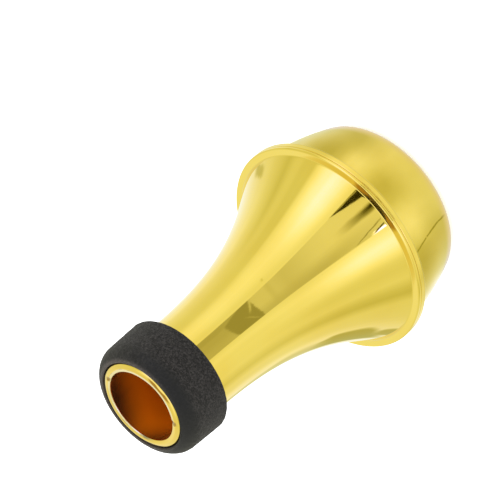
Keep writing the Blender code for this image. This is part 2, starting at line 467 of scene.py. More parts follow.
@dataclass(frozen=True)
class AmberPlastic(Finish):
    """The bare moulded plastic inside, clear amber.

    Its colour holds painted light and shade: it is darker near the mouth and darker away from one plane
    through the axis, and lighter deeper in, as if light glowed through the wall.
    """

    effects: Effects
    name: str = "amber_plastic"
    # Painted light and shade: the first colour is the lit amber deep in the bore, the second the shaded amber
    # near the mouth, and the pair after them the depths over which one turns into the other.
    thin: Triple = (0.68, 0.150, 0.002)
    painted_shaded_amber: Triple = (0.026, 0.010, 0.004)
    painted_shade_depths: Pair = (-0.0026, 0.0117)
    across: Triple = (0.891, 0.454, 0.0)
    across_round: float = 0.0015
    across_limit: float = 0.0112
    side_shade_fall: float = -0.70
    shade_depth_offset: float = 0.0040
    flow_stretch: Triple = (1.0, 1.0, 0.18)
    flow: Pair = (0.012, 0.002)
    dust: Triple = (0.003, 0.00012, 0.15)
    dust_colour: Triple = (0.8, 0.6, 0.4)
    roughness: float = 0.16
    film_length: float = 0.015
    film_roughness: float = 0.25
    ripple: Pair = (0.004, 0.000004)

    def sockets(self, sketch: NodeSketch, place: Value) -> dict[str, object]:
        """Work out the plastic.

        Args:
            sketch: the material's tree.
            place: the object's own coordinates.

        Returns:
            A glossy amber with painted light and shade, lighter with depth, with flow lines, film, dust and
            ripple.
        """
        # Painted shade: a depth made larger deeper in and smaller away from one plane through the axis, which
        # the colour follows from shaded to lit amber.
        away = sketch.measure("DOT_PRODUCT", place, self.across)
        away = (away * away + self.across_round**2) ** 0.5
        away = sketch.math("MINIMUM", away, self.across_limit)
        length, share = self.flow
        flow = sketch.noise(sketch.stretched(place, self.flow_stretch), length, 3.0) - 0.5
        depth = TOTAL_HEIGHT + self.shade_depth_offset - sketch.axes(place)[2]
        depth = depth + away * self.side_shade_fall + flow * share
        colour = sketch.tint(sketch.ramp(depth, *self.painted_shade_depths), self.painted_shaded_amber, self.thin)
        dust = sketch.effect(self.effects.specks, place, *self.dust)
        film = sketch.effect(self.effects.film, place, self.film_length)
        return {
            "Specular IOR Level": 0.5,
            "IOR": 1.54,
            "Coat Weight": 0.4,
            "Coat Roughness": 0.05,
            "Base Color": sketch.tint(dust * 0.5, colour, self.dust_colour),
            "Roughness": film * self.film_roughness + self.roughness,
            "Normal": sketch.bump(sketch.effect(self.effects.ripple, place, *self.ripple)),
        }


@dataclass(frozen=True)
class ClosedCellFoam(Finish):
    """Black closed-cell foam: matt and fine-grained, buffed smooth at the front, with painted shade on the
    front and painted light round the inner edge.
    """

    effects: Effects
    name: str = "closed_cell_foam"
    dark: Triple = (0.0060, 0.0054, 0.0050)
    light: Triple = (0.036, 0.0325, 0.0300)
    cell: float = 0.00034
    bloom_length: float = 0.005
    mottle_shares: Triple = (0.20, 0.55, 0.45)
    mottle: Pair = (0.42, 0.84)
    # Painted shade: the darker colour laid on the front, most towards one side, with the heights, direction,
    # side and shares that place it. The heights also make the front smoother.
    buffed: Triple = (0.0075, 0.0080, 0.0086)
    buffed_and_shaded_heights: Pair = (TOTAL_HEIGHT - 0.0064, TOTAL_HEIGHT - 0.0026)
    painted_light_towards: Triple = (-0.8, -0.6, 0.0)
    front_shade_side: Pair = (-0.010, 0.014)
    front_shade_shares: Pair = (0.20, 0.65)
    # Painted light: the paler, browner colour round the inner edge on one side, with the radii, side and
    # shares that place it.
    painted_edge_light: Triple = (0.105, 0.088, 0.078)
    edge_light_radii: Pair = (0.0182, 0.0166)
    edge_light_side: Pair = (0.018, 0.0)
    edge_light_shares: Pair = (0.1, 1.2)
    pit_colour: Triple = (0.004, 0.0038, 0.0038)
    pit: Pair = (0.60, 0.18)
    pit_share: float = 0.45
    pit_depth: float = 0.7
    lint: Triple = (0.006, 0.00030, 0.22)
    lint_colour: Triple = (0.85, 0.85, 0.82)
    roughness: float = 0.72
    grain_roughness: float = 0.2
    grain_depth: float = 0.00011
    front_depth: float = 0.00002

    def sockets(self, sketch: NodeSketch, place: Value) -> dict[str, object]:
        """Work out the foam.

        Args:
            sketch: the material's tree.
            place: the object's own coordinates.

        Returns:
            A rough black with cut cells, mottled bloom, pits, a smoother front with painted shade on it,
            painted light round the inner edge, and lint.
        """
        distance, drawn, _ = sketch.cells(place, self.cell, feature="SMOOTH_F1")
        pit = sketch.ramp(distance, *self.pit)
        grain = sketch.noise(place, self.cell * 1.6, 3.0)
        bloom = sketch.noise(place, self.bloom_length, 5.0)
        of_bloom, of_grain, of_cell = self.mottle_shares
        mottle = bloom * of_bloom + grain * of_grain + drawn * of_cell
        colour = sketch.tint(sketch.ramp(mottle, *self.mottle), self.dark, self.light)
        # Painted shade: the front is darker, most towards one side. The same direction sets the side of the
        # painted light round the inner edge.
        front = sketch.ramp(sketch.axes(place)[2], *self.buffed_and_shaded_heights)
        side = sketch.measure("DOT_PRODUCT", place, self.painted_light_towards)
        least, more = self.front_shade_shares
        buffed = front * (sketch.ramp(side, *self.front_shade_side) * more + least)
        colour = sketch.tint(buffed, colour, self.buffed)
        # Painted light: paler round the inner edge, on one side only.
        least, more = self.edge_light_shares
        cut = sketch.ramp(sketch.radius(place), *self.edge_light_radii) * sketch.ramp(side, *self.edge_light_side)
        colour = sketch.tint(cut * (grain * more + least), colour, self.painted_edge_light)
        colour = sketch.tint(pit * self.pit_share, colour, self.pit_colour)
        lint = sketch.effect(self.effects.specks, place, *self.lint)
        depth = self.grain_depth - front * (self.grain_depth - self.front_depth)
        return {
            "Specular IOR Level": 0.2,
            "Sheen Weight": 0.05,
            "Sheen Roughness": 0.6,
            "Base Color": sketch.tint(lint, colour, self.lint_colour),
            "Roughness": (grain - front) * self.grain_roughness + self.roughness,
            "Normal": sketch.bump((grain - pit * self.pit_depth) * depth),
        }


@dataclass(frozen=True)
class HardenedCement(Finish):
    """Solvent cement that has set: amber, glossy, slightly lumpy."""

    effects: Effects
    name: str = "hardened_cement"
    light: Triple = (0.40, 0.17, 0.03)
    dark: Triple = (0.24, 0.08, 0.012)
    lump_length: float = 0.0025
    lump_height: float = 0.0001
    lump_roughness: float = 0.12
    bubbles: Triple = (0.0009, 0.00012, 0.4)
    bubble_colour: Triple = (0.75, 0.5, 0.2)
    roughness: float = 0.28

    def sockets(self, sketch: NodeSketch, place: Value) -> dict[str, object]:
        """Work out the cement.

        Args:
            sketch: the material's tree.
            place: the object's own coordinates.

        Returns:
            An amber gloss with bubbles and lumps.
        """
        lumps = sketch.noise(place, self.lump_length, 3.0)
        bubbles = sketch.effect(self.effects.specks, place, *self.bubbles)
        colour = sketch.tint(lumps, self.light, self.dark)
        return {
            "IOR": 1.5,
            "Specular IOR Level": 0.5,
            "Base Color": sketch.tint(bubbles * 0.5, colour, self.bubble_colour),
            "Roughness": lumps * self.lump_roughness + self.roughness,
            "Normal": sketch.bump(lumps * self.lump_height),
        }


@dataclass(frozen=True)
class PaleFloorPaint(Finish):
    """Matt white studio floor, lit softly from below."""

    name: str = "pale_floor"
    colour: Triple = (0.95, 0.95, 0.95)
    grain_colour: Triple = (0.94525, 0.94525, 0.94525)
    grain_length: float = 0.004
    grain_roughness: float = 0.05
    roughness: float = 0.9
    glow: float = 0.5

    def sockets(self, sketch: NodeSketch, place: Value) -> dict[str, object]:
        """Work out the paint.

        Args:
            sketch: the material's tree.
            place: the object's own coordinates.

        Returns:
            A matt white with a barely visible roller grain.
        """
        grain = sketch.noise(place, self.grain_length)
        return {
            "Specular IOR Level": 0.1,
            "Emission Color": (1.0, 1.0, 1.0, 1.0),
            "Emission Strength": self.glow,
            "Base Color": sketch.tint(grain, self.colour, self.grain_colour),
            "Roughness": grain * self.grain_roughness + self.roughness,
        }


# Half sections and surfaces.


def arc(centre: Pair, radius: float, start: float, end: float, steps: int) -> np.ndarray:
    """Points of an arc: the centre plus the radius along each angle, evenly spaced from start to end."""
    angle = np.linspace(start, end, steps + 1)
    return np.array(centre) + radius * np.column_stack((np.cos(angle), np.sin(angle)))


def curve_corners(points: np.ndarray, side: Side) -> list[Corner]:
    """The points of a curve as corners without fillets."""
    return [(float(radius), float(height), 0.0, side) for radius, height in points]


def fillet(
    before: np.ndarray, corner: np.ndarray, after: np.ndarray, radius: float, step: float
) -> np.ndarray:
    """Points that round one corner.

    The arc is tangent to both edges. Its centre lies on the corner's bisector, at the radius over the
    sine of half the corner's angle.

    Args:
        before: a point on the edge that comes in.
        corner: the sharp corner.
        after: a point on the edge that goes out.
        radius: the fillet's radius.
        step: the largest turn between two points, in radians.

    Returns:
        The arc's points, in order.
    """
    inward = (before - corner) / np.linalg.norm(before - corner)
    outward = (after - corner) / np.linalg.norm(after - corner)
    half = math.acos(float(np.clip(inward @ outward, -1.0, 1.0))) / 2
    bisector = (inward + outward) / np.linalg.norm(inward + outward)
    centre = corner + bisector * radius / math.sin(half)
    first = corner + inward * radius / math.tan(half) - centre
    last = corner + outward * radius / math.tan(half) - centre
    start = math.atan2(first[1], first[0])
    sweep = (math.atan2(last[1], last[0]) - start + math.pi) % (2 * math.pi) - math.pi
    steps = max(3, math.ceil(abs(sweep) / step))
    return arc((float(centre[0]), float(centre[1])), radius, start, start + sweep, steps)


@dataclass
class HalfSection:
    """A closed outline in the plane of radius and height. A corner is a point, a fillet and a side."""

    corners: list[Corner]
    spacing: float = 0.0008
    whole: float = 1.2
    support: float = 0.00008
    fillet_step: float = math.radians(11)

    def outline(self) -> tuple[np.ndarray, np.ndarray]:
        """Draw the fillets and fill the long edges with points.

        Returns:
            The points as rows of radius and height, and the material slot of the edge after each.
        """
        places = [np.array(corner[:2]) for corner in self.corners]
        runs, slots = [], []
        for index, (_, _, radius, side) in enumerate(self.corners):
            run = places[index][None]
            if radius > 0:
                after = places[(index + 1) % len(places)]
                run = fillet(places[index - 1], places[index], after, radius, self.fillet_step)
            runs.append(run)
            slots.append(np.full(len(run), side.value))
        points = np.concatenate(runs)
        filled = [self.fill(start, end) for start, end in zip(points, np.roll(points, -1, axis=0))]
        return np.concatenate(filled), np.repeat(np.concatenate(slots), [len(piece) for piece in filled])

    def fill(self, start: np.ndarray, end: np.ndarray) -> np.ndarray:
        """Fill one edge with points.

        An edge shorter than the whole factor times the spacing stays whole. A longer one gets evenly
        spaced points, and one more just inside each of its ends, which keeps the shading of a flat free
        of its neighbour's curve.

        Args:
            start: the edge's first point.
            end: its last point.

        Returns:
            Its points, up to but without its end.
        """
        length = float(np.linalg.norm(end - start))
        if length < self.spacing * self.whole:
            return start[None]
        inner = np.linspace(self.support, length - self.support, math.ceil(length / self.spacing) + 1)
        share = np.concatenate(([0.0], inner)) / length
        return start + share[:, None] * (end - start)


def turned(points: np.ndarray, segments: int) -> tuple[np.ndarray, np.ndarray]:
    """Carry a closed half section once round the axis.

    The surface is the point (r(u) cos a, r(u) sin a, z(u)) for every outline place u and azimuth a.
    Both directions close on themselves, so the mesh has no seam, pole or open edge.

    Args:
        points: the outline, as rows of radius and height, clockwise where radius points right.
        segments: facets round the axis.

    Returns:
        The vertices, and the four vertex numbers of each face.
    """
    azimuth = np.arange(segments) * 2 * math.pi / segments
    around = np.column_stack((np.cos(azimuth), np.sin(azimuth)))
    vertices = np.empty((len(points), segments, 3))
    vertices[..., :2] = points[:, None, :1] * around
    vertices[..., 2] = points[:, None, 1]
    rows, columns = np.meshgrid(np.arange(len(points)), np.arange(segments), indexing="ij")
    next_row, next_column = (rows + 1) % len(points), (columns + 1) % segments
    walk = ((rows, columns), (next_row, columns), (next_row, next_column), (rows, next_column))
    faces = np.stack([row * segments + column for row, column in walk], axis=-1)
    return vertices.reshape(-1, 3), faces.reshape(-1, 4)


def surface_object(name: str, vertices: np.ndarray, faces: np.ndarray, slots: np.ndarray) -> bpy.types.Object:
    """Put arrays of vertices, four-cornered faces and material slots into a smooth mesh object.

    Args:
        name: the object's name.
        vertices: one row for each vertex.
        faces: four vertex numbers a face, anticlockwise from outside.
        slots: the material slot of each face.

    Returns:
        The new object, in the scene.
    """
    mesh = bpy.data.meshes.new(name)
    mesh.vertices.add(len(vertices))
    mesh.vertices.foreach_set("co", vertices.astype(np.float32).ravel())
    mesh.loops.add(faces.size)
    mesh.loops.foreach_set("vertex_index", faces.astype(np.int32).ravel())
    mesh.polygons.add(len(faces))
    mesh.polygons.foreach_set("loop_start", np.arange(0, faces.size, 4, dtype=np.int32))
    mesh.polygons.foreach_set("material_index", slots.astype(np.int32))
    mesh.update(calc_edges=True)
    mesh.validate()
    mesh.shade_smooth()
    piece = bpy.data.objects.new(name, mesh)
    bpy.context.scene.collection.objects.link(piece)
    return piece


def report(piece: bpy.types.Object) -> None:
    """Log a finished piece's size.

    Args:
        piece: the piece.
    """
    faces = sum(len(polygon.vertices) - 2 for polygon in piece.data.polygons)
    size = " x ".join(f"{side * 1000:.1f}" for side in piece.dimensions)
    LOG.info("%s: %s mm, %d triangles", piece.name, size, faces)


# The mute's pieces.


class TurnedPiece:
    """A piece that is turned about the axis from its half section, and replaces one solid."""

    node: ClassVar[str]
    slot: ClassVar[str]
    segments: ClassVar[int] = 256

    def section(self) -> HalfSection:
        """The half section."""
        raise NotImplementedError

    def shaped(self, places: np.ndarray) -> np.ndarray:
        """Change the turned vertices. A plain piece leaves them as they are."""
        return places

    def build(self, *finishes: bpy.types.Material) -> bpy.types.Object:
        """Turn the piece, shape it and dress it.

        Args:
            finishes: the material of each of its sides.

        Returns:
            The finished piece.
        """
        points, slots = self.section().outline()
        vertices, faces = turned(points, self.segments)
        slots = np.repeat(slots, self.segments)
        piece = surface_object(f"{self.node}_surface", self.shaped(vertices), faces, slots)
        for finish in finishes:
            piece.data.materials.append(finish)
        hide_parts(self.node)
        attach(piece, ROOT_BODY)
        report(piece)
        return piece


@dataclass
class FlaredBody(TurnedPiece):
    """Mouth, tapered neck, flare, flange and spigot in one moulding."""

    node = "flared_body"
    slot = "gold_coated_plastic"
    mouth_radius: float = 0.01615
    mouth_wall: float = 0.00315
    mouth_step: float = 0.0003
    mouth_outer_round: float = 0.0009
    mouth_inner_round: float = 0.0003
    lip_bevel_width: float = 0.0010
    lip_bevel_drop: float = 0.00027
    lip_crest: float = 0.0004
    lip_crest_round: float = 0.0008
    lip_fall: float = 0.00065
    lip_depth: float = 0.003
    coated_depth: float = 0.0007
    neck_taper: float = 0.030
    flare_start: float = 0.0263
    flare_power: float = 2.42
    flare_steps: int = 110
    bell_wall: float = 0.0020
    flange_face_width: float = 0.0027
    flange_thickness: float = 0.0012
    flange_cove: float = 0.0005
    flange_edge_round: float = 0.0006
    spigot_radius: float = 0.03401
    spigot_length: float = 0.0038
    spigot_wall: float = 0.0016
    spigot_lead_in: float = 0.0005
    gate_azimuths: Pair = (math.radians(18), math.radians(-139))
    gate_place: float = 0.72
    gate_half_width: float = math.radians(4.5)
    gate_depth: float = 0.00022
    gate_reach: float = 0.0015
    gate_fade: float = 0.625

    @property
    def underside(self) -> float:
        """Height of the flange's underside."""
        return JOINT_HEIGHT + SEAM / 2

    @property
    def flare_end(self) -> float:
        """Depth of the flange's face below the mouth."""
        return TOTAL_HEIGHT - self.underside - self.flange_thickness

    @property
    def gate_marks(self) -> tuple[Triple, ...]:
        """The middle of each trimmed gate, on the lip."""
        radius = self.mouth_radius - self.mouth_wall * self.gate_place
        return tuple((radius * math.cos(a), radius * math.sin(a), TOTAL_HEIGHT) for a in self.gate_azimuths)

    def outer_radius(self, depth: np.ndarray | float) -> np.ndarray | float:
        """Work out the outside: a slight cone, plus a power of the depth once the flare starts.

        Args:
            depth: one depth, or an array of them.

        Returns:
            The outer radius there.
        """
        bell_radius = FLANGE_RADIUS - self.flange_face_width
        rise = bell_radius - self.mouth_radius - self.neck_taper * self.flare_end
        share = np.clip((depth - self.flare_start) / (self.flare_end - self.flare_start), 0.0, None)
        return self.mouth_radius + self.neck_taper * depth + rise * share**self.flare_power

    def bore_radius(self, depth: np.ndarray | float) -> np.ndarray | float:
        """Work out the inside: the wall is measured square to the outside, and thins evenly.

        Args:
            depth: one depth, or an array of them.

        Returns:
            The inner radius there.
        """
        step = 0.0001
        slope = (self.outer_radius(depth + step) - self.outer_radius(depth - step)) / (2 * step)
        wall = self.mouth_wall + (self.bell_wall - self.mouth_wall) * depth / self.flare_end
        return self.outer_radius(depth) - wall * np.hypot(1.0, slope)

    def section(self) -> HalfSection:
        """Draw the piece, from the lip down the outside and back up the bore.

        Returns:
            Its half section.
        """
        coated, bare = Side.COATED, Side.BARE
        height = TOTAL_HEIGHT
        face = height - self.flare_end
        crest = float(self.bore_radius(0.0)) + self.lip_bevel_width
        spigot_end = self.underside - self.spigot_length
        spigot_bore = self.spigot_radius - self.spigot_wall
        depths = np.linspace(self.flare_start, self.flare_end, self.flare_steps, endpoint=False)
        outside = np.column_stack((self.outer_radius(depths), height - depths))
        bore = np.column_stack((self.bore_radius(depths), height - depths))[::-1]
        level = np.interp(spigot_bore, self.bore_radius(depths), height - depths)
        return HalfSection(
            [
                (self.bore_radius(0.0), height - self.lip_bevel_drop, self.mouth_inner_round, coated),
                (crest, height, self.lip_crest_round, coated),
                (crest + self.lip_crest, height, self.lip_crest_round, coated),
                (self.mouth_radius - self.mouth_step, height - self.lip_fall, self.mouth_outer_round, coated),
                (self.mouth_radius, height - self.lip_depth, 0.0, coated),
                *curve_corners(outside, coated),
                (FLANGE_RADIUS - self.flange_face_width, face, self.flange_cove, coated),
                (FLANGE_RADIUS, face, self.flange_edge_round, coated),
                (FLANGE_RADIUS, self.underside, self.flange_edge_round / 3, coated),
                (self.spigot_radius, self.underside, 0.0, bare),
                (self.spigot_radius, spigot_end, self.spigot_lead_in, bare),
                (spigot_bore, spigot_end, 0.0, bare),
                (spigot_bore, float(level), 0.0, bare),
                *curve_corners(bore[bore[:, 0] < spigot_bore], bare),
                (self.bore_radius(self.coated_depth), height - self.coated_depth, 0.0, coated),
            ]
        )

    def shaped(self, places: np.ndarray) -> np.ndarray:
        """Sink the lip's inner edge where the gates were cut off.

        Each dip is a rounded bump in azimuth, times a fall from the bore outwards over five eighths of
        the wall, times a fall from the mouth down.

        Args:
            places: the vertices.

        Returns:
            The changed vertices.
        """
        azimuth = np.arctan2(places[:, 1], places[:, 0])
        radius = np.hypot(places[:, 0], places[:, 1])
        near_top = np.clip(1 - (TOTAL_HEIGHT - places[:, 2]) / self.gate_reach, 0.0, 1.0)
        across_wall = 1 - (self.mouth_radius - radius) / self.mouth_wall
        inner = np.clip(1 - across_wall / self.gate_fade, 0.0, 1.0)
        for gate in self.gate_azimuths:
            away = np.abs((azimuth - gate + math.pi) % (2 * math.pi) - math.pi) / self.gate_half_width
            dip = np.where(away < 1, np.cos(np.clip(away, 0, 1) * math.pi / 2) ** 2, 0.0)
            places[:, 2] -= self.gate_depth * dip * inner * near_top
        return places


@dataclass
class EndCap(TurnedPiece):
    """Rim, gently curved wall, rounded edge, recessed flat end with its vent, and bevelled socket."""

    node = "end_cap"
    slot = "gold_coated_plastic"
    rim_thickness: float = 0.0024
    rim_upper_round: float = 0.0003
    rim_lower_round: float = 0.0007
    rim_overhang: float = 0.00255
    shoulder_fillet: float = 0.0005
    wall: float = 0.0020
    wall_curve: float = 0.112
    wall_lean: float = math.radians(6.1)
    wall_steps: int = 34
    corner_round: float = 0.0056
    corner_steps: int = 26
    foot_width: float = 0.0050
    recess_depth: float = 0.0006
    recess_slope: float = 0.0012
    vent_radius: float = 0.0030
    vent_edge_round: float = 0.0003
    cement_pocket: float = 0.0018

    def section(self) -> HalfSection:
        """Draw the piece, from the rim down the outside, across the flat end and back up the socket.

        Returns:
            Its half section.
        """
        coated, bare = Side.COATED, Side.BARE
        rim_top = JOINT_HEIGHT - SEAM / 2
        rim_bottom = rim_top - self.rim_thickness
        shoulder = FLANGE_RADIUS - self.rim_overhang
        wall_centre = (
            shoulder - self.wall_curve * math.cos(self.wall_lean),
            rim_bottom + self.wall_curve * math.sin(self.wall_lean),
        )
        reach = self.wall_curve - self.corner_round
        rise = wall_centre[1] - self.corner_round
        corner_centre = (wall_centre[0] + math.sqrt(reach**2 - rise**2), self.corner_round)
        turn = math.atan2(-rise, corner_centre[0] - wall_centre[0])
        down = -math.pi / 2
        bevel_foot = rim_top - self.cement_pocket
        inner_curve = self.wall_curve - self.wall
        bevel_radius = wall_centre[0] + math.sqrt(inner_curve**2 - (wall_centre[1] - bevel_foot) ** 2)
        bevel_angle = math.atan2(bevel_foot - wall_centre[1], bevel_radius - wall_centre[0])
        foot = corner_centre[0] - self.foot_width
        recess = foot - self.recess_slope
        floor = self.recess_depth + self.wall
        outer_wall = arc(wall_centre, self.wall_curve, -self.wall_lean, turn, self.wall_steps)
        outer_edge = arc(corner_centre, self.corner_round, turn, down, self.corner_steps)
        inner_edge = arc(corner_centre, self.corner_round - self.wall, down, turn, self.corner_steps // 2)
        inner_wall = arc(wall_centre, inner_curve, turn, bevel_angle, self.wall_steps // 2)
        return HalfSection(
            [
                (FLANGE_RADIUS, rim_top, self.rim_upper_round, coated),
                (FLANGE_RADIUS, rim_bottom, self.rim_lower_round, coated),
                (shoulder, rim_bottom, self.shoulder_fillet, coated),
                *curve_corners(outer_wall[1:], coated),
                *curve_corners(outer_edge[1:], coated),
                (foot, 0.0, 0.0, coated),
                (recess, self.recess_depth, 0.0, coated),
                (self.vent_radius, self.recess_depth, self.vent_edge_round, coated),
                (self.vent_radius, floor, self.vent_edge_round, bare),
                (recess, floor, 0.0, bare),
                (foot, self.wall, 0.0, bare),
                *curve_corners(inner_edge, bare),
                *curve_corners(inner_wall[1:], bare),
                (bevel_radius + self.cement_pocket, rim_top, 0.0, bare),
            ]
        )


@dataclass
class FoamRing(TurnedPiece):
    """The foam tube on the neck, cut square at the rear and buffed round at the front."""

    node = "foam_ring"
    slot = "black_foam"
    segments = 288
    body: FlaredBody
    setback: float = 0.0001
    length: float = 0.0178
    thickness: float = 0.0039
    front_round: float = 0.0056
    front_steps: int = 24
    rear_round: float = 0.0005
    inner_round: float = 0.0004
    inner_depth: float = 0.0016
    lip_gap: float = 0.0002
    spacing: float = 0.0004
    support: float = 0.0002
    lobes: int = 9
    lobe_height: float = 0.00005
    lumps: int = 60
    lump_height: float = 0.00003
    lump_counts: tuple[int, int] = (12, 60)
    lump_rise: float = 2500
    seed: int = 7

    def skin_radius(self, depth: float) -> float:
        """The skin's radius at a depth: an even thickness over the neck."""
        return float(self.body.outer_radius(depth)) + CLEARANCE + self.thickness

    def section(self) -> HalfSection:
        """Draw the piece, on the outer surface of the neck, with its front edge buffed to an arc.

        Returns:
            Its half section.
        """
        skin = Side.COATED
        front = TOTAL_HEIGHT - self.setback
        rear = self.setback + self.length
        bore_front = self.body.mouth_radius - self.body.mouth_step + self.lip_gap
        centre_radius = self.skin_radius(self.setback + self.front_round) - self.front_round
        start = math.acos((bore_front - centre_radius) / self.front_round)
        centre = (centre_radius, front - self.front_round * math.sin(start))
        buffed = arc(centre, self.front_round, start, 0.0, self.front_steps)[2:]
        return HalfSection(
            [
                (self.body.mouth_radius + CLEARANCE, front - self.inner_depth, 0.0, skin),
                (bore_front, front, self.inner_round, skin),
                *curve_corners(buffed, skin),
                (self.skin_radius(rear), TOTAL_HEIGHT - rear, self.rear_round, skin),
                (self.body.outer_radius(rear) + CLEARANCE, TOTAL_HEIGHT - rear, 0.0, skin),
            ],
            spacing=self.spacing,
            support=self.support,
        )

    def shaped(self, places: np.ndarray) -> np.ndarray:
        """Make the skin slightly uneven.

        The radius grows by a sum of waves round the axis, plus short waves round and along it, each
        with a drawn phase, in proportion to the distance from the bore.

        Args:
            places: the vertices.

        Returns:
            The changed vertices.
        """
        draw = np.random.default_rng(self.seed)
        azimuth = np.arctan2(places[:, 1], places[:, 0])
        radius = np.hypot(places[:, 0], places[:, 1])
        wave = np.zeros(len(places))
        for lobe in range(2, self.lobes):
            wave += self.lobe_height / lobe * np.sin(lobe * azimuth + draw.uniform(0, 2 * math.pi))
        for _ in range(self.lumps):
            count, rise = draw.integers(*self.lump_counts), draw.uniform(-self.lump_rise, self.lump_rise)
            lump = np.sin(count * azimuth + rise * places[:, 2] + draw.uniform(0, 2 * math.pi))
            wave += self.lump_height / math.sqrt(self.lumps) * lump
        bore = self.body.outer_radius(0.0) + CLEARANCE
        share = np.clip((radius - bore) / self.thickness, 0.0, 1.0)
        places[:, :2] *= (1 + wave * share / radius)[:, None]
        return places

    def build(self, *finishes: bpy.types.Material) -> bpy.types.Object:
        """Args:
            finishes: the foam.

        Returns:
            The finished piece.
        """
        piece = super().build(*finishes)
        return piece


@dataclass
class CementBead:
    """The ring of cement in the joint. Its solid stays, and takes its finish."""

    node: str = "cement_bead"

    def build(self, cement: bpy.types.Material) -> bpy.types.Object:
        """Dress the solid.

        Args:
            cement: its finish.

        Returns:
            The dressed solid.
        """
        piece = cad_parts[self.node]
        for slot in piece.material_slots:
            slot.material = cement
        report(piece)
        return piece


# The studio, and the camera that stands in it.

PHOTO_SIDE_PX = 500
FOCAL_LENGTH_PX = 2900
PRINCIPAL_POINT_PX = (250.5, 250.5)


@dataclass(frozen=True)
class StudioCamera:
    """The camera at the photograph's viewing angle, worked out from the outline and the rings."""

    position: Triple = (0.01567, -0.78900, 0.58366)
    up: Triple = (0.76878, -0.35632, -0.53105)
    back: Triple = (0.0, -0.83040, 0.55717)
    sensor_width: float = 36.0

    def build(self) -> bpy.types.Object:
        """Make the camera and give it to the scene.

        Its axes are the given back, the given up made square to it, and their cross product.

        Returns:
            The camera.
        """
        back = Vector(self.back).normalized()
        right = Vector(self.up).cross(back).normalized()
        data = bpy.data.cameras.new("studio_camera")
        data.sensor_width = self.sensor_width
        data.lens = self.sensor_width * FOCAL_LENGTH_PX / PHOTO_SIDE_PX
        data.shift_x = 0.5 - PRINCIPAL_POINT_PX[0] / PHOTO_SIDE_PX
        data.shift_y = PRINCIPAL_POINT_PX[1] / PHOTO_SIDE_PX - 0.5
        camera = bpy.data.objects.new("studio_camera", data)
        turn = Matrix((right, back.cross(right), back)).transposed().to_4x4()
        camera.matrix_world = Matrix.Translation(self.position) @ turn
        bpy.context.scene.collection.objects.link(camera)
        bpy.context.scene.camera = camera
        LOG.info("camera: lens %.1f mm", data.lens)
        return camera


@dataclass(frozen=True)
class Patch:
    """A darker or brighter patch among the panels: a rounded rectangle in degrees, turned anticlockwise."""

    azimuth: float
    elevation: float
    half_width: float
    half_height: float
    turn: float
    level: float
    edge: float = 0.25

    def laid(self, sketch: NodeSketch, place: Value, level: Value) -> Value:
        """Lay the patch over the levels so far.

        The distance from its middle is the fourth root of the sum of the fourth powers of both offsets,
        each divided by the half size, so 1 is its rounded rim.

        Args:
            sketch: the tree it goes into.
            place: azimuth and elevation, in degrees.
            level: the level without it.

        Returns:
            The level with it.
        """
        own_axes = {
            "Vector": place,
            "Location": (self.azimuth, self.elevation, 0.0),
            "Rotation": (0.0, 0.0, math.radians(self.turn)),
            "Scale": (self.half_width, self.half_height, 1.0),
        }
        offset = sketch.value("ShaderNodeMapping", own_axes, vector_type="TEXTURE")
        square = sketch.vector("MULTIPLY", offset, offset)
        distance = sketch.measure("DOT_PRODUCT", square, square) ** 0.25
        return sketch.between(sketch.ramp(distance, 1 + self.edge, 1 - self.edge), level, self.level)


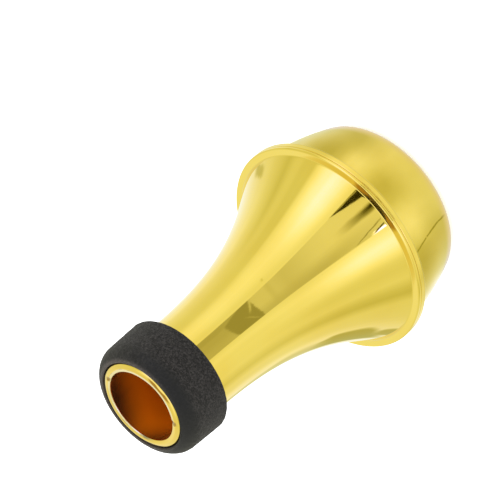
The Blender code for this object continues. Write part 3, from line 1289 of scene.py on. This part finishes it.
@dataclass(frozen=True)
class Studio:
    """A pale floor, and soft light from panels all round that differ in brightness with the direction.

    Bright metal shows what surrounds it, so the panels are what its bands come from. Levels are given
    by azimuth for the panels below and above the eye line, and by elevation for the gap between the two
    front panels, which holds the stand and the camera. A pair of elevations or azimuths is a soft edge.
    """

    low_panels: Levels = (
        (-180, 1.0), (-128, 1.0), (-118, 0.91), (-100, 0.84), (-86, 0.79), (-76, 0.81), (-64, 0.97),
        (-52, 1.02), (-42, 0.97), (-30, 0.87), (22, 0.89), (30, 0.95), (40, 0.90), (72, 0.88),
        (90, 0.74), (105, 0.90), (118, 0.89), (128, 0.99), (180, 1.0),
    )
    high_panels: Levels = (
        (-180, 0.92), (-168, 0.90), (-146, 0.80), (-124, 0.82), (-112, 0.74), (-104, 0.65), (-96, 0.78),
        (-91, 0.78), (-86, 0.73), (-76, 0.74), (-72, 0.92), (-64, 1.0), (-50, 1.03), (-36, 0.96),
        (-30, 0.90), (22, 0.90), (34, 1.0), (48, 0.95), (60, 0.81), (66, 0.79), (77, 0.84),
        (87, 0.68), (93, 0.62), (103, 0.81), (124, 0.82), (146, 0.84), (168, 0.90), (180, 0.92),
    )
    panel_blend: Pair = (-26.0, 4.0)
    lamps: Levels = (
        (-180, 0.0), (-74, 0.0), (-66, 0.12), (-52, 0.22), (-42, 0.19), (-30, 0.04), (18, 0.11),
        (36, 0.20), (43, 0.18), (56, 0.0), (180, 0.0),
    )
    lamp_rise: Pair = (-6.0, 18.0)
    gap: Levels = (
        (-90, 0.50), (-26.8, 0.50), (-17.5, 0.70), (-12.5, 0.71), (-11.5, 0.63), (-9.5, 0.69),
        (-5, 0.65), (0, 0.69), (8, 0.78), (14, 0.82), (90, 0.84),
    )
    gap_patches: tuple[Patch, ...] = (
        Patch(21, -4, 14, 26, 0, 0.58, 0.75),
        Patch(-3, -22.1, 30, 4.4, 2, 0.34, 0.06),
        Patch(-22, -25.8, 11, 2.4, -24, 0.46, 0.35),
        Patch(-14, -18.9, 9, 0.35, -5, 0.62, 0.80),
        Patch(8, -20.2, 7, 0.25, 10, 0.46, 0.80),
        Patch(-25.9, 26.5, 14, 5.0, 53, 0.03, 0.04),
        Patch(-26.2, 26, 0.5, 5, 8, 0.45, 0.50),
        Patch(-4.5, 35, 4.0, 12.5, 0, 0.20, 0.60),
        Patch(-5.5, 33, 1.7, 5.5, 0, 0.02, 0.50),
        Patch(14.6, 24.5, 6.5, 0.42, -50, 0.32, 0.60),
        Patch(20.6, 27.8, 1.9, 3.4, -20, 1.5, 0.25),
        Patch(17.9, 27.6, 2.8, 0.50, -58, 0.05, 0.35),
    )
    wall_patches: tuple[Patch, ...] = (
        Patch(144.5, -20.6, 15, 3.7, -24, 0.51, 0.20),
        Patch(146.5, -14.6, 7, 2.8, -30, 0.53, 0.25),
        Patch(150, -28.5, 14, 3.0, -20, 0.72, 0.60),
        Patch(-139, -10.8, 7, 0.9, 25, 0.62, 0.50),
        Patch(-33, -11.6, 2.4, 0.35, 0, 0.70, 0.60),
    )
    gap_edges: Pair = (-24.4, 19.2)
    gap_spread: Pair = (-0.11, 0.055)
    gap_spread_start: float = -8.0
    gap_edge_softness: float = 0.7
    gap_foot: Pair = (-32.5, -30.5)
    ragged: float = 0.9
    ragged_scale: float = 14.0
    streaks: float = 0.05
    streak_rates: Pair = (0.45, 0.02)
    table_share: float = 0.62
    table_edge: Pair = (-36.0, -44.0)
    ceiling: float = 1.08
    ceiling_edge: Pair = (52.0, 62.0)
    rear: Pair = (112.0, 140.0)
    rear_wall: float = 0.80
    rear_wall_foot: Pair = (40.0, 50.0)
    rear_top: Pair = (82.0, 80.0)
    beam_foot: Pair = (70.5, 73.5)
    beam_colour: Triple = (0.42, 0.29, 0.12)
    green_power: float = 1.04
    blue_share: float = 0.85
    blue_power: float = 2.3
    gap_blue_power: float = 1.65
    lamp_blue: float = 21.0
    soft_light: float = 1.5
    floor_side: float = 6.0

    def light(self) -> None:
        """Build the world.

        Camera and diffuse rays meet one even white. Reflections meet the panels, the rear wall above
        them and the beam across the ceiling's rear, which is darker and brown.
        """
        world = bpy.data.worlds.new("studio")
        world.use_nodes = True
        world.cycles.sampling_method = "NONE"
        bpy.context.scene.world = world
        sketch = NodeSketch(world.node_tree)
        direction = sketch.value("ShaderNodeTexCoord", output="Generated")
        x, y, z = sketch.axes(direction)
        azimuth = self.compass(sketch, x, y)
        elevation = sketch.math("DEGREES", sketch.math("ARCSINE", z))
        place = self.ragged_place(sketch, direction, azimuth, elevation)
        level = self.wall_level(sketch, azimuth, elevation)
        for patch in self.wall_patches:
            level = patch.laid(sketch, place, level)
        in_gap = self.gap_mask(sketch, azimuth, elevation)
        level = sketch.between(in_gap, level, self.gap_level(sketch, place, elevation))
        blue_power = sketch.between(in_gap, self.blue_power, self.gap_blue_power)
        level = level * (self.streak(sketch, azimuth, elevation) * self.streaks + 1.0)
        on_table = sketch.ramp(elevation, *self.table_edge)
        level = sketch.between(on_table, level, level * self.table_share)
        level = sketch.between(sketch.ramp(elevation, *self.ceiling_edge), level, self.ceiling)
        behind = sketch.ramp(abs(azimuth), *self.rear) * sketch.ramp(elevation, *self.rear_top)
        on_wall = behind * sketch.ramp(elevation, *self.rear_wall_foot)
        level = sketch.between(on_wall, level, self.rear_wall)
        panels = self.panel_colour(sketch, level, blue_power)
        on_beam = behind * sketch.ramp(elevation, *self.beam_foot)
        panels = sketch.tint(on_beam, panels, self.beam_colour)
        glossy = sketch.value("ShaderNodeLightPath", output="Is Glossy Ray")
        colour = sketch.tint(glossy, (self.soft_light, self.soft_light, self.soft_light), panels)
        sketch.feed(world.node_tree.nodes["Background"], {"Color": colour})

    @staticmethod
    def compass(sketch: NodeSketch, x: Value, y: Value) -> Value:
        """The azimuth of a direction or a place, in degrees from -Y towards -X."""
        return sketch.math("DEGREES", sketch.math("ARCTAN2", x * -1.0, y * -1.0))

    def panel_colour(self, sketch: NodeSketch, level: Value, blue_power: Number) -> Value:
        """Give a level its colour.

        Green is a power of the level near 1, and blue a higher power times a share, so dim panels are
        the warmer ones. Above 1, blue gains the square of the excess, because the lamps are white.

        Args:
            sketch: the tree.
            level: the brightness.
            blue_power: how fast blue falls with the level.

        Returns:
            The colour.
        """
        excess = sketch.math("MAXIMUM", level - 1.0, 0.0)
        blue = level**blue_power * self.blue_share + excess * excess * self.lamp_blue
        return sketch.value("ShaderNodeCombineColor", {0: level, 1: level**self.green_power, 2: blue})

    def wall_level(self, sketch: NodeSketch, azimuth: Value, elevation: Value) -> Value:
        """Blend the low panels into the high ones, and add the lamps above the eye line.

        Args:
            sketch: the tree.
            azimuth: the direction's azimuth.
            elevation: its elevation.

        Returns:
            The level.
        """
        low, high, lamps = (
            sketch.levels(azimuth, 360, table) for table in (self.low_panels, self.high_panels, self.lamps)
        )
        level = sketch.between(sketch.ramp(elevation, *self.panel_blend), low, high)
        return lamps * sketch.ramp(elevation, *self.lamp_rise) + level

    def ragged_place(self, sketch: NodeSketch, direction: Value, azimuth: Value, elevation: Value) -> Value:
        """Put azimuth and elevation into one place, shifted a little by noise so that edges are ragged.

        Args:
            sketch: the tree.
            direction: the direction.
            azimuth: its azimuth.
            elevation: its elevation.

        Returns:
            The place, in degrees.
        """
        place = sketch.value("ShaderNodeCombineXYZ", {0: azimuth, 1: elevation})
        rough = {"Vector": direction, "Scale": self.ragged_scale, "Detail": 4.0}
        shift = sketch.vector("SUBTRACT", sketch.value("ShaderNodeTexNoise", rough, "Color"), (0.5, 0.5, 0.5))
        return sketch.vector("MULTIPLY_ADD", shift, (self.ragged * 3, self.ragged, 0.0), place)

    def streak(self, sketch: NodeSketch, azimuth: Value, elevation: Value) -> Value:
        """Make faint upright streaks: noise that changes fast with azimuth, slowly with elevation.

        Args:
            sketch: the tree.
            azimuth: the direction's azimuth.
            elevation: its elevation.

        Returns:
            A number about 0.
        """
        fast, slow = self.streak_rates
        place = sketch.value("ShaderNodeCombineXYZ", {0: azimuth * fast, 1: elevation * slow})
        return sketch.noise(place, 1.0, 3.0) - 0.5

    def gap_mask(self, sketch: NodeSketch, azimuth: Value, elevation: Value) -> Value:
        """Find the gap between the front panels, which lean apart above the eye line.

        Args:
            sketch: the tree.
            azimuth: the direction's azimuth.
            elevation: its elevation.

        Returns:
            A mask, 1 in the gap.
        """
        above = sketch.math("MAXIMUM", elevation, self.gap_spread_start)
        mask = sketch.ramp(elevation, *self.gap_foot)
        for edge, spread, sign in zip(self.gap_edges, self.gap_spread, (1, -1)):
            away = azimuth - (above * spread + edge)
            soft = self.gap_edge_softness * sign
            mask = mask * sketch.ramp(away, -soft, soft)
        return mask

    def gap_level(self, sketch: NodeSketch, place: Value, elevation: Value) -> Value:
        """Work out what is in the gap.

        Args:
            sketch: the tree.
            place: azimuth and elevation, in degrees.
            elevation: the elevation without its ragged shift.

        Returns:
            The level, by elevation, with its patches.
        """
        level = sketch.levels(elevation, 180, self.gap)
        for patch in self.gap_patches:
            level = patch.laid(sketch, place, level)
        return level

    def floor(self) -> bpy.types.Object:
        """Lay the floor. Bright metal sees past it, to the panels that go on under it.

        Returns:
            The floor.
        """
        floor = self.sheet("floor", self.floor_side / 2, 0.0)
        floor.data.materials.append(PaleFloorPaint().material())
        floor.visible_glossy = False
        return floor

    def apron(self) -> bpy.types.Object:
        """Lay what bright metal sees of the floor close round the foot. Nothing else sees it.

        Returns:
            The apron.
        """
        finish = FloorReflection(self)
        apron = self.sheet("floor_reflection", finish.fade[1], -0.0001)
        apron.data.materials.append(finish.material())
        apron.visible_camera = apron.visible_diffuse = apron.visible_shadow = False
        apron.visible_transmission = apron.visible_volume_scatter = False
        return apron

    @staticmethod
    def sheet(name: str, half_side: float, height: float) -> bpy.types.Object:
        """Make a square stage sheet round the origin.

        Args:
            name: its name.
            half_side: half its side.
            height: its height.

        Returns:
            The sheet.
        """
        signs = np.array([(-1.0, -1.0), (1.0, -1.0), (1.0, 1.0), (-1.0, 1.0)])
        corners = np.column_stack((signs * half_side, np.full(4, height)))
        sheet = surface_object(name, corners, np.array([[0, 1, 2, 3]]), np.zeros(1))
        return sheet


@dataclass(frozen=True)
class FloorReflection(Finish):
    """The light that the floor near the foot sends back: bright in front of the panels, dim between."""

    studio: Studio
    name: str = "floor_reflection"
    far: Levels = (
        (-180, 1.0), (-112, 0.80), (-92, 0.80), (-80, 0.66), (-68, 0.56), (-59, 0.57), (-51, 0.69),
        (-42, 0.93), (-34, 0.95), (-26, 0.85), (-18, 0.70), (-11, 0.62), (-5, 0.63), (3, 0.69),
        (16, 0.92), (27, 0.97), (36, 0.86), (44, 0.72), (47, 0.61), (58, 0.55), (66, 0.56),
        (80, 0.67), (94, 0.80), (104, 1.0), (180, 1.0),
    )
    near: Levels = (
        (-180, 1.0), (-112, 0.80), (-90, 0.79), (-72, 0.72), (-54, 0.61), (-46, 0.62), (-34, 0.77),
        (-22, 0.85), (0, 0.79), (18, 0.81), (26, 0.76), (36, 0.65), (44, 0.65), (60, 0.69),
        (76, 0.78), (92, 1.0), (180, 1.0),
    )
    near_to_far: Pair = (0.036, 0.052)
    under_edge: Triple = (0.80, 0.76, 0.74)
    under_edge_radii: Pair = (0.0345, 0.0315)
    mottle_length: float = 0.006
    mottle: float = 0.07
    cable_azimuth: float = 36.5
    cable_start: float = 0.0355
    cable_slope: float = 630.0
    cable_wobble: Pair = (0.003, 1.6)
    cable_edge: Pair = (0.99, 0.275)
    cable_break_length: float = 0.002
    cable_broken: Pair = (0.25, 0.45)
    cable_level: float = 0.36
    fade: Pair = (0.056, 0.075)

    def material(self) -> bpy.types.Material:
        """Build the reflection, which fades out at its rim.

        Returns:
            A light by azimuth and radius, with the thin dark line of a cable across it.
        """
        material, sketch, place = self.start()
        nodes = material.node_tree.nodes
        nodes.remove(nodes["Principled BSDF"])
        x, y, _ = sketch.axes(place)
        azimuth = self.studio.compass(sketch, x, y)
        radius = sketch.measure("LENGTH", place)
        near, far = (sketch.levels(azimuth, 360, table) for table in (self.near, self.far))
        level = sketch.between(sketch.ramp(radius, *self.near_to_far), near, far)
        cable = self.cable(sketch, place, azimuth, radius)
        level = sketch.between(cable, level, self.cable_level)
        level = level * ((sketch.noise(place, self.mottle_length, 4.0) - 0.5) * self.mottle + 1.0)
        colour = self.studio.panel_colour(sketch, level, self.studio.blue_power)
        colour = sketch.tint(sketch.ramp(radius, *self.under_edge_radii), colour, self.under_edge)
        glow = sketch.value("ShaderNodeEmission", {0: colour})
        clear = sketch.value("ShaderNodeBsdfTransparent")
        shown = {0: sketch.ramp(radius, *self.fade), 1: glow, 2: clear}
        sketch.feed(nodes["Material Output"], {"Surface": sketch.value("ShaderNodeMixShader", shown)})
        return material

    def cable(self, sketch: NodeSketch, place: Value, azimuth: Value, radius: Value) -> Value:
        """Draw the cable: an azimuth that grows with the radius, wobbled and broken by noise.

        Args:
            sketch: the material's tree.
            place: the object's own coordinates.
            azimuth: their azimuth.
            radius: their distance from the origin.

        Returns:
            A mask, 1 on the cable.
        """
        length, swing = self.cable_wobble
        line = (radius - self.cable_start) * self.cable_slope + self.cable_azimuth
        line = line + (sketch.noise(place, length, 3.0) - 0.5) * swing
        broken = sketch.ramp(sketch.noise(place, self.cable_break_length), *self.cable_broken)
        return sketch.ramp(abs(azimuth - line), *self.cable_edge) * broken


def main() -> None:
    """Light the studio, then build and dress the pieces from the mouth down."""
    logging.basicConfig(level=logging.INFO, format="%(name)s: %(message)s")
    bpy.context.scene.view_settings.view_transform = "Standard"
    studio = Studio()
    studio.light()
    studio.floor()
    studio.apron()
    StudioCamera().build()
    effects = Effects.built()
    body = FlaredBody()
    gold = GoldCoating(effects, body.gate_marks).material()
    amber = AmberPlastic(effects).material()
    body.build(gold, amber)
    EndCap().build(gold, amber)
    FoamRing(body).build(ClosedCellFoam(effects).material())
    CementBead().build(HardenedCement(effects).material())


if __name__ == "__main__":
    main()
